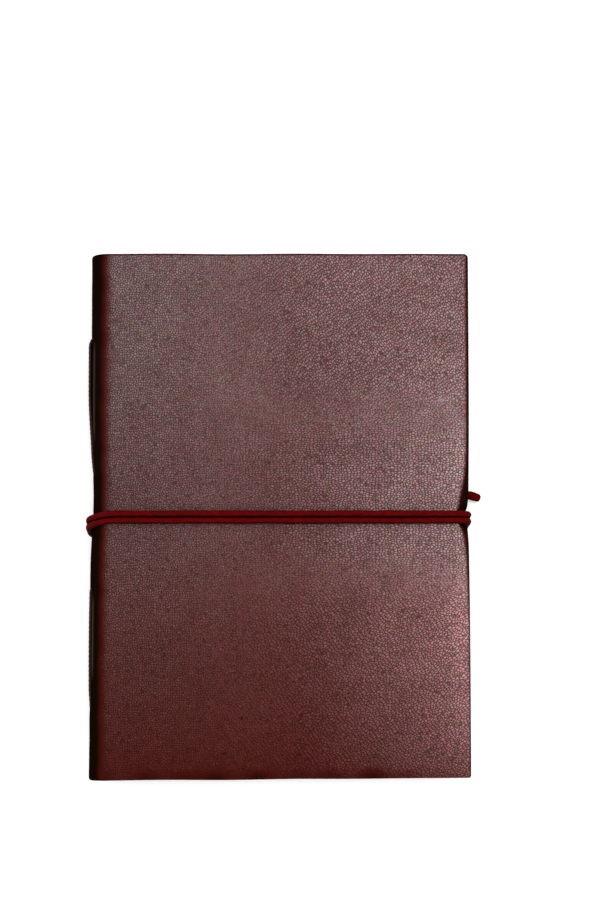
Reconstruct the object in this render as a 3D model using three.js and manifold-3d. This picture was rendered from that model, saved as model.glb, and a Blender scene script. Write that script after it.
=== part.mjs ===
// Hand-sewn leather journal, 130 x 180 x 18 mm, closed, with its cord wound twice round it.
//
// One hide makes the front cover, the spine and the back cover. Each cover is the hide turned in
// over a thin card, with a suede lining inside. Six signatures of four folded sheets are sewn
// through the spine with a long stitch. The journal lies on its back cover.
//
// Units are millimetres. +X points to the fore-edge, +Y to the head, +Z up from the back cover to
// the front cover. Sizes are drawn from the middle of the back cover's outer face, and the whole
// is then moved so that the origin lies under the middle of the bounding box.

import * as THREE from 'three';
import { mergeVertices } from 'three/addons/utils/BufferGeometryUtils.js';
import Module from 'manifold-3d';

const wasm = await Module();
wasm.setup();

// ---------------------------------------------------------------- driving dimensions

const WIDTH = 130; // spine to fore-edge
const HEAD_Y = 90;
const TAIL_Y_SPINE = -90.5; // the hide is cut 1 mm out of square at the tail
const TAIL_Y_EDGE = -89.5;
const THICK = 18;
const COVER_T = 2.6;
const CORNER_R = 1.6; // plan corners at the fore-edge
const EDGE_ROUND = 1.2; // rolled edge of a turned-in cover

const SKIN_T = 1.1; // hide over the card
const CARD_T = 0.7;
const LINING_T = 0.35;
const FIT = 0.05; // gap left round a glued-in sheet
const HEM = 12; // turn-in showing inside a cover
const CARD_INSET = 3; // from a cover's edge to its card
const CARD_SETBACK = 7; // the hide beside the spine has no card, so that it can bend

const SPINE_R = 6; // outer radius where the hide turns into the spine
const SPINE_SKIN = 1.4;
const SPINE_LINING = 0.5;
const SPINE_HALF = 6; // the still part of the spine reaches this far from mid thickness
const COVER_START = -57.5; // where the card-stiffened cover begins
const HINGE_GAP = 0.1;

const LEAF_T = 0.24;
const LEAF_PITCH = 0.26;
const SHEETS = 4; // folded sheets in a signature
const SIGNATURES = 6;
const LEAF_EDGE_X = 62;
const LEAF_HALF_Y = 86.5;
const TURNING_LEAF_X = -59.6; // where a leaf that turns is parted from its fold

const THREAD_R = 0.3;
const HOLE_R = 0.38;
const THREAD_SLACK = 0.6; // how far a long stitch bows off the spine
const STATIONS = [61, 14.6, -25.3, -65.4]; // sewing holes along the spine
const THREAD_END = 4; // thread left inside beyond the outer stations

const CORD_R = 1.13;
const CORD_SUNK = 0.3; // how far the cord presses into the hide
const CORD_EDGE_X = 64.5; // the cord pulls in the soft fore-edge
const CORD_BEND = 2.2; // its radius round the fore-edge corners
const CORD_RUN_X = [-54, 60]; // ends of its straight runs over the covers
const CORD_PART_Z = 2.6; // where the fore-edge run parts from the back run
const CORD_JOIN = 0.3;
const STRAND_FRONT_Y = [0.05, -2.25]; // upper and lower strand on the front cover
const STRAND_EDGE_Y = [-1.2, -3.5]; // where they part at the fore-edge
const STRAND_BACK_EDGE_Y = [-2.4, -4.7];
const STRAND_BACK_SPINE_Y = [-5.4, -7.7];
const CHANNEL_SIDE = 0.25; // room beside the strands in their shallow channel
const FRONT_NOTCH_SHORT = 0.7; // the front notch stops short of where the strands part
const TAIL_PATH = [[42, -0.3], [49, 0.8], [56, 4.6], [60.5, 7.3], [64, 8.1], [69.6, 7.3]];
const TAIL_END_R = 1.5;
const TAIL_END_LENGTH = 4.5;
const TAIL_END_DROOP = 0.17; // radians towards the tail
const TAIL_END_BACK = 4.1; // where the swollen end begins, back from the path's tip
const TAIL_END_RISE = 0.7;

const FRAME_SHIFT = [-1.6, 0.25, 2.33]; // from the back cover's middle to the bounding box's

// ---------------------------------------------------------------- worked-out sizes

const SPINE_X = -WIDTH / 2;
const EDGE_X = WIDTH / 2;
const MID_Z = THICK / 2;
const ARC_X = SPINE_X + SPINE_R; // centre of the spine's corner arcs
const ARC_Z = THICK - SPINE_R;
const CORD_OUT = CORD_R - CORD_SUNK; // cord axis above the hide
const SIGNATURE_PITCH = 2 * SHEETS * LEAF_PITCH;
const SIGNATURE_HALF = (SIGNATURE_PITCH - (LEAF_PITCH - LEAF_T)) / 2;

// ---------------------------------------------------------------- materials

const material = (color, roughness) =>
  new THREE.MeshStandardMaterial({ color, roughness, metalness: 0 });
const HIDE = material(0x4a1a15, 0.5);
const SUEDE = material(0x6b3524, 0.95);
const CARD = material(0x9c8262, 0.9);
const PAPER = material(0xe9dfc8, 0.95);
const THREAD = material(0x3a0f10, 0.8);
const CORD = material(0x5a0f0c, 0.75);

// ---------------------------------------------------------------- solids

function solidOf(geometry) {
  const bare = geometry.index ? geometry.toNonIndexed() : geometry.clone();
  for (const name of Object.keys(bare.attributes)) {
    if (name !== 'position') bare.deleteAttribute(name);
  }
  const merged = mergeVertices(bare, 1e-4);
  return new wasm.Manifold(new wasm.Mesh({
    numProp: 3,
    vertProperties: new Float32Array(merged.attributes.position.array),
    triVerts: new Uint32Array(merged.index.array),
  }));
}

function geometryOf(solid) {
  const { vertProperties, triVerts, numProp } = solid.getMesh();
  if (numProp !== 3) throw new Error('expected bare positions');
  return new THREE.BufferGeometry()
    .setAttribute('position', new THREE.BufferAttribute(vertProperties, 3))
    .setIndex(new THREE.BufferAttribute(triVerts, 1));
}

function cut(body, ...cutters) {
  return cutters.reduce((left, cutter) => left.subtract(cutter), body);
}

function block([x0, x1], [y0, y1], [z0, z1]) {
  return new THREE.BoxGeometry(x1 - x0, y1 - y0, z1 - z0)
    .translate((x0 + x1) / 2, (y0 + y1) / 2, (z0 + z1) / 2);
}

// A shape drawn in X and Z, extruded along Y.
function prism(shape, [y0, y1], curveSegments = 8) {
  return new THREE.ExtrudeGeometry(shape, { depth: y1 - y0, bevelEnabled: false, curveSegments })
    .rotateX(Math.PI / 2)
    .translate(0, y1, 0);
}

// A smooth path that puts its rings at its own points, so bends get more rings than straights.
class RingedPath extends THREE.CatmullRomCurve3 {
  getPointAt(u, target) {
    return this.getPoint(u, target);
  }

  getTangentAt(u, target) {
    return this.getTangent(u, target);
  }
}

function rod(points, radius, sides) {
  const section = new THREE.Shape(
    Array.from({ length: sides }, (_, i) => {
      const turn = (2 * Math.PI * i) / sides;
      return new THREE.Vector2(radius * Math.cos(turn), radius * Math.sin(turn));
    }),
  );
  const extrudePath = new RingedPath(points, false, 'centripetal');
  return new THREE.ExtrudeGeometry(section, { extrudePath, steps: points.length - 1 });
}

// A channel with a flat bed, cut along straight pieces of a path that lies in a cover's face.
function channel(points, halfWidth, depth) {
  const pieces = points.slice(1).map((end, i) => {
    const [x0, y0] = points[i];
    const [x1, y1] = end;
    const length = Math.hypot(x1 - x0, y1 - y0) + halfWidth;
    return solidOf(
      new THREE.BoxGeometry(length, 2 * halfWidth, 2 * depth)
        .rotateZ(Math.atan2(y1 - y0, x1 - x0))
        .translate((x0 + x1) / 2, (y0 + y1) / 2, 0),
    );
  });
  return pieces.reduce((all, piece) => all.add(piece));
}

// ---------------------------------------------------------------- the spine's section

// Outer face of the spine at a height, moved in by an inset.
function spineX(z, inset = 0) {
  const past = Math.max(0, Math.abs(z - MID_Z) - (ARC_Z - MID_Z));
  return ARC_X - Math.sqrt((SPINE_R - inset) ** 2 - past ** 2);
}

// The hide between two insets round the spine's corner and on over the cover, upper half only.
function cornerBand(insetOut, insetIn, endX) {
  const shape = new THREE.Shape();
  shape.moveTo(endX, THICK - insetOut);
  shape.lineTo(ARC_X, THICK - insetOut);
  shape.absarc(ARC_X, ARC_Z, SPINE_R - insetOut, Math.PI / 2, Math.PI, false);
  shape.lineTo(SPINE_X + insetOut, MID_Z);
  shape.lineTo(SPINE_X + insetIn, MID_Z);
  shape.lineTo(SPINE_X + insetIn, ARC_Z);
  shape.absarc(ARC_X, ARC_Z, SPINE_R - insetIn, Math.PI, Math.PI / 2, true);
  shape.lineTo(endX, THICK - insetIn);
  return shape;
}

function stillBand(insetOut, insetIn, tailY, headY) {
  const upper = solidOf(prism(cornerBand(insetOut, insetIn, COVER_START), [tailY, headY]));
  const lower = solidOf(
    prism(cornerBand(insetOut, insetIn, COVER_START), [-headY, -tailY])
      .rotateX(Math.PI)
      .translate(0, 0, THICK),
  );
  const keep = solidOf(block(
    [SPINE_X - 1, COVER_START],
    [tailY - 1, headY + 1],
    [MID_Z - SPINE_HALF, MID_Z + SPINE_HALF],
  ));
  return upper.add(lower).intersect(keep);
}

// ---------------------------------------------------------------- cord and thread paths

const mix = (a, b, share) => a + (b - a) * share;

// Points of an arc in X and Z, from one angle to another, in degrees.
function arcPoints([x, z], radius, from, to, count) {
  return Array.from({ length: count + 1 }, (_, i) => {
    const turn = THREE.MathUtils.degToRad(mix(from, to, i / count));
    return [x + radius * Math.cos(turn), z + radius * Math.sin(turn)];
  });
}

// Gives a path in X and Z its Y, which drifts steadily along the path's length.
function drift(section, y0, y1) {
  const reach = [0];
  section.slice(1).forEach(([x, z], i) => {
    reach.push(reach[i] + Math.hypot(x - section[i][0], z - section[i][1]));
  });
  const whole = reach[reach.length - 1];
  return section.map(([x, z], i) => new THREE.Vector3(x, mix(y0, y1, reach[i] / whole), z));
}

function cordFront(strand) {
  const z = THICK + CORD_OUT;
  return CORD_RUN_X.map((x) => new THREE.Vector3(x, STRAND_FRONT_Y[strand], z));
}

function cordSpine(strand) {
  const radius = SPINE_R + CORD_OUT;
  const startX = CORD_RUN_X[0] - CORD_JOIN;
  const section = [
    [startX, THICK + CORD_OUT],
    ...arcPoints([ARC_X, ARC_Z], radius, 90, 180, 8),
    [ARC_X - radius, MID_Z],
    ...arcPoints([ARC_X, THICK - ARC_Z], radius, 180, 270, 8),
    [startX, -CORD_OUT],
  ];
  const path = drift(section.slice(1, -1), STRAND_FRONT_Y[strand], STRAND_BACK_SPINE_Y[strand]);
  const [start, end] = [section[0], section[section.length - 1]];
  return [
    new THREE.Vector3(start[0], STRAND_FRONT_Y[strand], start[1]),
    ...path,
    new THREE.Vector3(end[0], STRAND_BACK_SPINE_Y[strand], end[1]),
  ];
}

function cordEdge(strand) {
  const centre = [CORD_EDGE_X - CORD_BEND, THICK + CORD_OUT - CORD_BEND];
  const section = [
    [CORD_RUN_X[1] + CORD_JOIN, THICK + CORD_OUT],
    ...arcPoints(centre, CORD_BEND, 90, 0, 5),
    [CORD_EDGE_X, MID_Z],
    [CORD_EDGE_X, CORD_PART_Z],
  ];
  return drift(section, STRAND_FRONT_Y[strand], STRAND_EDGE_Y[strand]);
}

function cordBack(strand) {
  const centre = [CORD_EDGE_X - CORD_BEND, CORD_BEND - CORD_OUT];
  const bend = [
    [CORD_EDGE_X, CORD_PART_Z - CORD_JOIN],
    ...arcPoints(centre, CORD_BEND, 0, -90, 5),
    [CORD_RUN_X[1], -CORD_OUT],
  ];
  const run = new THREE.Vector3(CORD_RUN_X[0], STRAND_BACK_SPINE_Y[strand], -CORD_OUT);
  return [...drift(bend, STRAND_EDGE_Y[strand], STRAND_BACK_EDGE_Y[strand]), run];
}

// A corner of the thread, rounded from one straight into the next.
function roundedCorner(before, corner, after, radius) {
  const from = corner.clone().add(before.clone().sub(corner).setLength(radius));
  const to = corner.clone().add(after.clone().sub(corner).setLength(radius));
  return new THREE.QuadraticBezierCurve3(from, corner, to).getPoints(3);
}

// The thread of one signature: inside, out at the first station, along the spine, in at the
// second, along the fold, out at the third, along the spine and in at the last.
function threadPath(z, foldCentreX) {
  const inX = foldCentreX + 0.1;
  const outX = spineX(z) - THREAD_R - FIT;
  const [a, b, c, d] = STATIONS;
  const at = (x, y) => new THREE.Vector3(x, y, z);
  const corners = [
    at(inX, a + THREAD_END), at(inX, a), at(outX, a), at(outX, b), at(inX, b),
    at(inX, c), at(outX, c), at(outX, d), at(inX, d), at(inX, d - THREAD_END),
  ];
  const points = [corners[0]];
  corners.slice(1, -1).forEach((corner, i) => {
    points.push(...roundedCorner(corners[i], corner, corners[i + 2], 0.5));
    const onSpine = corner.x === outX && corners[i + 2].x === outX;
    if (onSpine) {
      for (const share of [0.15, 0.35, 0.65, 0.85]) {
        const bow = THREAD_SLACK * Math.sin(Math.PI * share);
        points.push(at(outX - bow, mix(corner.y, corners[i + 2].y, share)));
      }
    }
  });
  points.push(corners[corners.length - 1]);
  return points;
}

// ---------------------------------------------------------------- scene

const journal = new THREE.Group();
journal.position.set(...FRAME_SHIFT);
const frontSide = new THREE.Group(); // the front cover is the back cover mirrored in height
frontSide.scale.z = -1;
frontSide.position.z = THICK;
journal.add(frontSide);

function place(name, shape, look, group = journal) {
  const geometry = shape.isBufferGeometry ? shape : geometryOf(shape);
  geometry.computeVertexNormals();
  const mesh = new THREE.Mesh(geometry, look);
  mesh.name = name;
  group.add(mesh);
}

// ---------------------------------------------------------------- covers

// A cover lying on its outer face: a rolled-edge slab, hollowed for its card and its lining.
function coverHide(channels) {
  const r = CORNER_R;
  const plan = new THREE.Shape();
  plan.moveTo(SPINE_X, TAIL_Y_SPINE);
  plan.lineTo(EDGE_X - r, TAIL_Y_EDGE);
  plan.absarc(EDGE_X - r, TAIL_Y_EDGE + r, r, -Math.PI / 2, 0, false);
  plan.absarc(EDGE_X - r, HEAD_Y - r, r, 0, Math.PI / 2, false);
  plan.lineTo(SPINE_X, HEAD_Y);
  const slab = solidOf(
    new THREE.ExtrudeGeometry(plan, {
      depth: COVER_T - 2 * EDGE_ROUND,
      bevelThickness: EDGE_ROUND,
      bevelSize: EDGE_ROUND,
      bevelOffset: -EDGE_ROUND,
      bevelSegments: 3,
      curveSegments: 4,
    }).translate(0, 0, EDGE_ROUND),
  );
  const keep = solidOf(block(
    [COVER_START, EDGE_X + 1],
    [TAIL_Y_SPINE - 1, HEAD_Y + 1],
    [-1, COVER_T + 1],
  ));
  const pocket = solidOf(block(...cardBox(FIT)));
  const window = solidOf(block(...windowBox(0)));
  return cut(slab.intersect(keep), pocket, window, ...channels);
}

function cardBox(room) {
  return [
    [COVER_START + CARD_SETBACK - room, EDGE_X - CARD_INSET + room],
    [TAIL_Y_EDGE + CARD_INSET - room, HEAD_Y - CARD_INSET + room],
    [SKIN_T - room, SKIN_T + CARD_T + room],
  ];
}

function windowBox(inset) {
  return [
    [COVER_START + CARD_SETBACK + 1 + inset, EDGE_X - HEM - inset],
    [TAIL_Y_EDGE + HEM + inset, HEAD_Y - HEM - inset],
    [SKIN_T, COVER_T + 1],
  ];
}

function liningBlock() {
  const [xs, ys] = windowBox(FIT);
  const bed = SKIN_T + CARD_T + FIT;
  return block(xs, ys, [bed, bed + LINING_T]);
}

// Where the cord crosses a cover's face and its fore-edge.
function strandChannels([upperStart, lowerStart], [upperEnd, lowerEnd], [notchTail, notchHead]) {
  const startY = (upperStart + lowerStart) / 2;
  const endY = (upperEnd + lowerEnd) / 2;
  const halfWidth = (upperStart - lowerStart) / 2 + CORD_R + CHANNEL_SIDE;
  const run = channel(
    [[COVER_START - 3, startY], [EDGE_X + 1, endY]],
    halfWidth,
    CORD_SUNK + FIT,
  );
  const notchX = CORD_EDGE_X - CORD_BEND + 0.2;
  const notch = solidOf(block([notchX, EDGE_X + 1], [notchTail, notchHead], [-1, COVER_T + 1]));
  return [run, notch];
}

const notchRoom = CORD_R + 0.3;
const frontChannels = strandChannels(
  STRAND_FRONT_Y,
  STRAND_FRONT_Y,
  [STRAND_EDGE_Y[1] - notchRoom + FRONT_NOTCH_SHORT, STRAND_FRONT_Y[0] + notchRoom],
);
const backChannels = strandChannels(
  STRAND_BACK_SPINE_Y,
  STRAND_BACK_EDGE_Y,
  [STRAND_BACK_EDGE_Y[1] - notchRoom, STRAND_EDGE_Y[0] + notchRoom],
);
const tailChannel = channel(TAIL_PATH, CORD_R + 0.15, CORD_SUNK + FIT);

place('front_cover_leather', coverHide(frontChannels), HIDE, frontSide);
place('front_cover_board', block(...cardBox(0)), CARD, frontSide);
place('front_cover_lining', liningBlock(), SUEDE, frontSide);
place('back_cover_leather', coverHide([...backChannels, tailChannel]), HIDE);
place('back_cover_board', block(...cardBox(0)), CARD);
place('back_cover_lining', liningBlock(), SUEDE);

// ---------------------------------------------------------------- spine

function signatureZ(index) {
  return MID_Z + (SIGNATURES / 2 - 0.5 - index) * SIGNATURE_PITCH;
}

// The fold's centre: the first and last signatures sit back where the spine rounds off.
function foldCentreX(index) {
  const outermost = index === 0 || index === SIGNATURES - 1;
  return (outermost ? -61.8 : -62.8) + SIGNATURE_HALF;
}

function holesFor(index) {
  return STATIONS.map((y) => solidOf(
    new THREE.CylinderGeometry(HOLE_R, HOLE_R, 6, 8)
      .rotateZ(Math.PI / 2)
      .translate(foldCentreX(index) + 0.5 - 3, y, signatureZ(index)),
  ));
}

const allHoles = Array.from({ length: SIGNATURES }, (_, i) => holesFor(i)).flat();
const cordGrooves = [0, 1].map((strand) => solidOf(rod(cordSpine(strand), CORD_R + 0.1, 10)));

place('spine_leather', cut(
  stillBand(0, SPINE_SKIN, TAIL_Y_SPINE, HEAD_Y),
  ...allHoles,
  ...cordGrooves,
), HIDE);
place('spine_lining', cut(
  stillBand(SPINE_SKIN + HINGE_GAP, SPINE_SKIN + HINGE_GAP + SPINE_LINING, -LEAF_HALF_Y, LEAF_HALF_Y),
  ...allHoles,
), SUEDE);

// The soft strip of hide that folds as a cover opens, drawn for the front.
function hingeStrip([tailY, headY]) {
  const band = cornerBand(0, SPINE_SKIN + HINGE_GAP + SPINE_LINING, COVER_START - HINGE_GAP);
  const keep = block(
    [SPINE_X - 1, COVER_START],
    [tailY - 1, headY + 1],
    [MID_Z + SPINE_HALF + HINGE_GAP, THICK + 1],
  );
  return solidOf(prism(band, [tailY, headY])).intersect(solidOf(keep));
}

const backStrip = solidOf(
  geometryOf(hingeStrip([-HEAD_Y, -TAIL_Y_SPINE])).rotateX(Math.PI).translate(0, 0, THICK),
);
place('front_hinge_leather', cut(hingeStrip([TAIL_Y_SPINE, HEAD_Y]), ...cordGrooves), HIDE);
place('back_hinge_leather', cut(backStrip, ...cordGrooves), HIDE);

// ---------------------------------------------------------------- signatures

// A folded sheet in X and Z: two leaves joined by a round fold. The legs may differ in length.
function foldedSheet(centreX, z, outer, inner, upperEndX, lowerEndX) {
  const shape = new THREE.Shape();
  shape.moveTo(upperEndX, z + outer);
  shape.lineTo(centreX, z + outer);
  shape.absarc(centreX, z, outer, Math.PI / 2, 1.5 * Math.PI, false);
  shape.lineTo(lowerEndX, z - outer);
  shape.lineTo(lowerEndX, z - inner);
  shape.lineTo(centreX, z - inner);
  shape.absarc(centreX, z, inner, 1.5 * Math.PI, Math.PI / 2, true);
  shape.lineTo(upperEndX, z + inner);
  return prism(shape, [-LEAF_HALF_Y, LEAF_HALF_Y], 4);
}

// Room for the thread where it lies inside the fold.
function threadRoom(index) {
  const x = foldCentreX(index);
  const z = signatureZ(index);
  const room = THREAD_R + FIT;
  const [a, b, c, d] = STATIONS;
  const spans = [
    [a - room, a + THREAD_END + room],
    [c - room, b + room],
    [d - THREAD_END - room, d + room],
  ];
  return spans.map((span) => solidOf(block([x - 0.26, x + 0.1 + room], span, [z - room, z + room])));
}

function leafBlock(z, outer, inner, side) {
  const zs = side > 0 ? [z + inner, z + outer] : [z - outer, z - inner];
  return block([TURNING_LEAF_X, LEAF_EDGE_X], [-LEAF_HALF_Y, LEAF_HALF_Y], zs);
}

for (let index = 0; index < SIGNATURES; index += 1) {
  const x = foldCentreX(index);
  const z = signatureZ(index);
  const first = index === 0;
  const last = index === SIGNATURES - 1;
  const shortX = TURNING_LEAF_X - HINGE_GAP;
  const room = [...holesFor(index), ...threadRoom(index)];
  for (let sheet = 0; sheet < SHEETS; sheet += 1) {
    const outer = SIGNATURE_HALF - sheet * LEAF_PITCH;
    const inner = outer - LEAF_T;
    const name = `signature_${index + 1}_sheet_${sheet + 1}`;
    const folded = solidOf(foldedSheet(
      x, z, outer, inner, first ? shortX : LEAF_EDGE_X, last ? shortX : LEAF_EDGE_X,
    ));
    place(name, cut(folded, ...room), PAPER);
    if (first) place(`front_leaf_${sheet + 1}`, leafBlock(z, outer, inner, 1), PAPER);
    if (last) place(`back_leaf_${sheet + 1}`, leafBlock(z, outer, inner, -1), PAPER);
  }
  place(`sewing_thread_${index + 1}`, rod(threadPath(z, x), THREAD_R, 6), THREAD);
}

// ---------------------------------------------------------------- cord

['upper', 'lower'].forEach((label, strand) => {
  place(`cord_front_${label}`, rod(cordFront(strand), CORD_R, 10), CORD);
  place(`cord_spine_${label}`, rod(cordSpine(strand), CORD_R, 10), CORD);
  place(`cord_edge_${label}`, rod(cordEdge(strand), CORD_R, 10), CORD);
  place(`cord_back_${label}`, rod(cordBack(strand), CORD_R, 10), CORD);
});

// The loose end lies on the back cover and pokes out past the fore-edge, slightly swollen.
function cordTail() {
  const path = TAIL_PATH.map(([x, y]) => new THREE.Vector3(x, y, -CORD_OUT));
  const tip = path[path.length - 1];
  const dome = TAIL_END_R * 0.5;
  const profile = [
    [0, 0], [CORD_R, 0], [TAIL_END_R, dome], [TAIL_END_R, TAIL_END_LENGTH - dome],
    [CORD_R, TAIL_END_LENGTH], [0, TAIL_END_LENGTH],
  ].map(([r, along]) => new THREE.Vector2(r, along));
  const end = new THREE.LatheGeometry(profile, 10)
    .rotateZ(-Math.PI / 2 - TAIL_END_DROOP)
    .translate(tip.x - TAIL_END_BACK, tip.y + TAIL_END_RISE, tip.z);
  return solidOf(rod(path, CORD_R, 10)).add(solidOf(end));
}

place('cord_tail', cordTail(), CORD);

export default journal;
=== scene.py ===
import math

import bmesh
import bpy
import numpy as np
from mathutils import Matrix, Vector


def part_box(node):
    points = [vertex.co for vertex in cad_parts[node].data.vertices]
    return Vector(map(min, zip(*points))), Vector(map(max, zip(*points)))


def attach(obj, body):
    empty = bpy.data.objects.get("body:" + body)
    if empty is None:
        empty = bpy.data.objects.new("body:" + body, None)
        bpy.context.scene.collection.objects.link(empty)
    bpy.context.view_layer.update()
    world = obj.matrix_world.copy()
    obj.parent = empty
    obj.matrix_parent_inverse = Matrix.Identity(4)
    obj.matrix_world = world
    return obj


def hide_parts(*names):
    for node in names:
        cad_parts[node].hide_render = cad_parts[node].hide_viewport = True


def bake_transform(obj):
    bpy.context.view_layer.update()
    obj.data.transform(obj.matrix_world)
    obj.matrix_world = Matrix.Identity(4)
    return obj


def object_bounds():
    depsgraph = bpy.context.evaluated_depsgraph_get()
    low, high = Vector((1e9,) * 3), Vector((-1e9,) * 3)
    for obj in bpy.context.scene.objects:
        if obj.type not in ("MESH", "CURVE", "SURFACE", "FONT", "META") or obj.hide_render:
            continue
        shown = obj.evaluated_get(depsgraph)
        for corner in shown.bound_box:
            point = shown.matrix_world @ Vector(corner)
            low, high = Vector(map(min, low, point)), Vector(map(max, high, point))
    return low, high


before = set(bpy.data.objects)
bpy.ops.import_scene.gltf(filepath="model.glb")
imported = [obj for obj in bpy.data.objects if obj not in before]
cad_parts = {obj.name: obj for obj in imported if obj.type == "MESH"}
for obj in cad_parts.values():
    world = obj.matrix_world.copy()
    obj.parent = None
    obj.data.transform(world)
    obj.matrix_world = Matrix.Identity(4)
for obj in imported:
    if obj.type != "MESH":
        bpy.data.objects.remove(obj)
CAD_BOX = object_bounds()

# A hand-sewn leather journal lying on its back cover, with a leather cord wound twice round it.
# Meshes are drawn in millimetres. Each half of the journal is drawn as if it were the front half,
# with heights counted from mid thickness, and the back half is its mirror image.

MM = 0.001

# ---- sizes, from the frame


def low(node):
    return np.array(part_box(node)[0]) / MM


def high(node):
    return np.array(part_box(node)[1]) / MM


SPINE_X = low("spine_leather")[0]
EDGE_X = high("front_cover_leather")[0]
HEAD_Y = high("front_cover_leather")[1]
FRONT_Z = high("front_cover_leather")[2]
BACK_Z = low("back_cover_leather")[2]
MID_Z = (FRONT_Z + BACK_Z) / 2
HALF_T = (FRONT_Z - BACK_Z) / 2
COVER_T = FRONT_Z - low("front_cover_leather")[2]
TAIL_SLANT = 1.0  # the hide is longer by this at the spine
TAIL_Y = low("spine_leather")[1] + TAIL_SLANT
WIDTH = EDGE_X - SPINE_X

SPINE_R = 6.0
SPINE_T = 2.0
SPINE_FLAT = HALF_T - SPINE_R
ARC_END = SPINE_FLAT + SPINE_R * math.pi / 2
LENGTH = ARC_END + WIDTH - SPINE_R  # along the hide, from mid spine to the fore-edge

LINING_LOW, LINING_HIGH = low("back_cover_lining"), high("back_cover_lining")
BOARD_LOW, BOARD_HIGH = low("back_cover_board"), high("back_cover_board")

CORD_R = (high("cord_front_upper")[2] - low("cord_front_upper")[2]) / 2
CORD_HEIGHT = high("cord_front_upper")[2] - CORD_R - FRONT_Z  # its axis above the hide
STRAND_GAP = 2.3
FRONT_UPPER_Y = (low("cord_front_upper")[1] + high("cord_front_upper")[1]) / 2
BACK_UPPER_SPINE_Y = low("cord_spine_upper")[1] + CORD_R
EDGE_CORD_X = high("cord_edge_upper")[0] - CORD_R
EDGE_UPPER_Y = low("cord_edge_upper")[1] + CORD_R
BACK_UPPER_EDGE_Y = EDGE_UPPER_Y - 1.2
CORD_MEET_Z = (low("cord_edge_upper")[2] + high("cord_back_upper")[2]) / 2 - MID_Z

THREAD_END = 4.0  # thread left inside beyond the outer stations
FIRST_STATION = high("sewing_thread_3")[1] - THREAD_END
LAST_STATION = low("sewing_thread_3")[1] + THREAD_END
LONG_STITCH_HEAD = 46.4
LONG_STITCH_TAIL = 40.1
STATIONS = [
    FIRST_STATION,
    FIRST_STATION - LONG_STITCH_HEAD,
    LAST_STATION + LONG_STITCH_TAIL,
    LAST_STATION,
]
LEAF_X = high("signature_3_sheet_1")[0]
LEAF_HEAD_Y = high("signature_3_sheet_1")[1]
LEAF_TAIL_Y = low("signature_3_sheet_1")[1]
LEAF_T = high("front_leaf_1")[2] - low("front_leaf_1")[2]
LEAF_PITCH = high("front_leaf_1")[2] - high("front_leaf_2")[2]
LEAF_START = low("front_leaf_1")[0]
SHEETS = 4
SIGNATURES = 6
HALVES = [(1, "front", "front_cover"), (-1, "back", "back_cover")]


def smooth(low_value, high_value, x):
    t = np.clip((x - low_value) / (high_value - low_value), 0, 1)
    return t * t * (3 - 2 * t)


def bell(x, width):
    return np.exp(-((x / width) ** 2))


def waves(x, y, seed, lengths=(70, 46, 31, 22)):
    """A gentle, repeatable unevenness between about -1 and 1."""
    rng = np.random.default_rng(seed)
    total = np.zeros(np.broadcast(x, y).shape)
    for length in lengths:
        way, phase = rng.uniform(0, 2 * math.pi, 2)
        total = total + np.sin((x * np.cos(way) + y * np.sin(way)) * 2 * math.pi / length + phase)
    return total / len(lengths)


# ---- meshes


def add_object(name, data):
    made = bpy.data.objects.new(name, data)
    bpy.context.scene.collection.objects.link(made)
    return made


def mesh_object(name, points, faces, **attributes):
    """A smooth-shaded object from points in millimetres, with named values at its points."""
    points = np.asarray(points, float).reshape(-1, 3)
    used, faces = np.unique(np.asarray(faces), return_inverse=True)
    faces = faces.reshape(-1, 4)
    mesh = bpy.data.meshes.new(name)
    mesh.vertices.add(len(used))
    mesh.vertices.foreach_set("co", (points[used] * MM).ravel())
    mesh.loops.add(faces.size)
    mesh.loops.foreach_set("vertex_index", faces.ravel())
    mesh.polygons.add(len(faces))
    mesh.polygons.foreach_set("loop_start", np.arange(0, faces.size, 4))
    for key, values in attributes.items():
        values = np.asarray(values, float)
        flat = values.reshape(len(points), -1)[used]
        if flat.shape[1] == 3:
            mesh.attributes.new(key, "FLOAT_VECTOR", "POINT").data.foreach_set("vector", flat.ravel())
        else:
            mesh.attributes.new(key, "FLOAT", "POINT").data.foreach_set("value", flat.ravel())
    mesh.update(calc_edges=True)
    mesh.validate()
    mesh.polygons.foreach_set("use_smooth", np.ones(len(mesh.polygons), bool))
    return add_object(name, mesh)


def grid_quads(index):
    a, b = index[:-1, :-1], index[1:, :-1]
    c, d = index[1:, 1:], index[:-1, 1:]
    return np.stack([a, b, c, d], -1).reshape(-1, 4)


def shell_faces(rows, columns, rim):
    """Quads of a closed shell: an outer grid, an inner grid after it, and walls between them.
    Points where rim is true belong to both grids."""
    outer = np.arange(rows * columns).reshape(rows, columns)
    inner = np.where(rim, outer, outer + rows * columns)
    parts = [grid_quads(outer), grid_quads(inner)[:, ::-1]]
    edges = [
        (outer[0], inner[0]),
        (outer[-1, ::-1], inner[-1, ::-1]),
        (outer[::-1, 0], inner[::-1, 0]),
        (outer[:, -1], inner[:, -1]),
    ]
    for out_line, in_line in edges:
        wall = np.stack([out_line[:-1], out_line[1:], in_line[1:], in_line[:-1]], -1)
        keep = (out_line[:-1] != in_line[:-1]) | (out_line[1:] != in_line[1:])
        parts.append(wall[keep])
    return np.concatenate(parts)


def clean_shell(made):
    """Joins doubled points and makes faces look outward."""
    work = bmesh.new()
    work.from_mesh(made.data)
    bmesh.ops.remove_doubles(work, verts=work.verts, dist=2e-6)
    bmesh.ops.dissolve_degenerate(work, edges=work.edges, dist=1e-7)
    bmesh.ops.recalc_face_normals(work, faces=work.faces)
    work.to_mesh(made.data)
    work.free()
    return made


def stand_in(piece, look, slot, *nodes):
    """Gives a piece its look, and hides the frame's nodes that it stands for; slot is not used."""
    piece.data.materials.append(look)
    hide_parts(*nodes)


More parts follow.
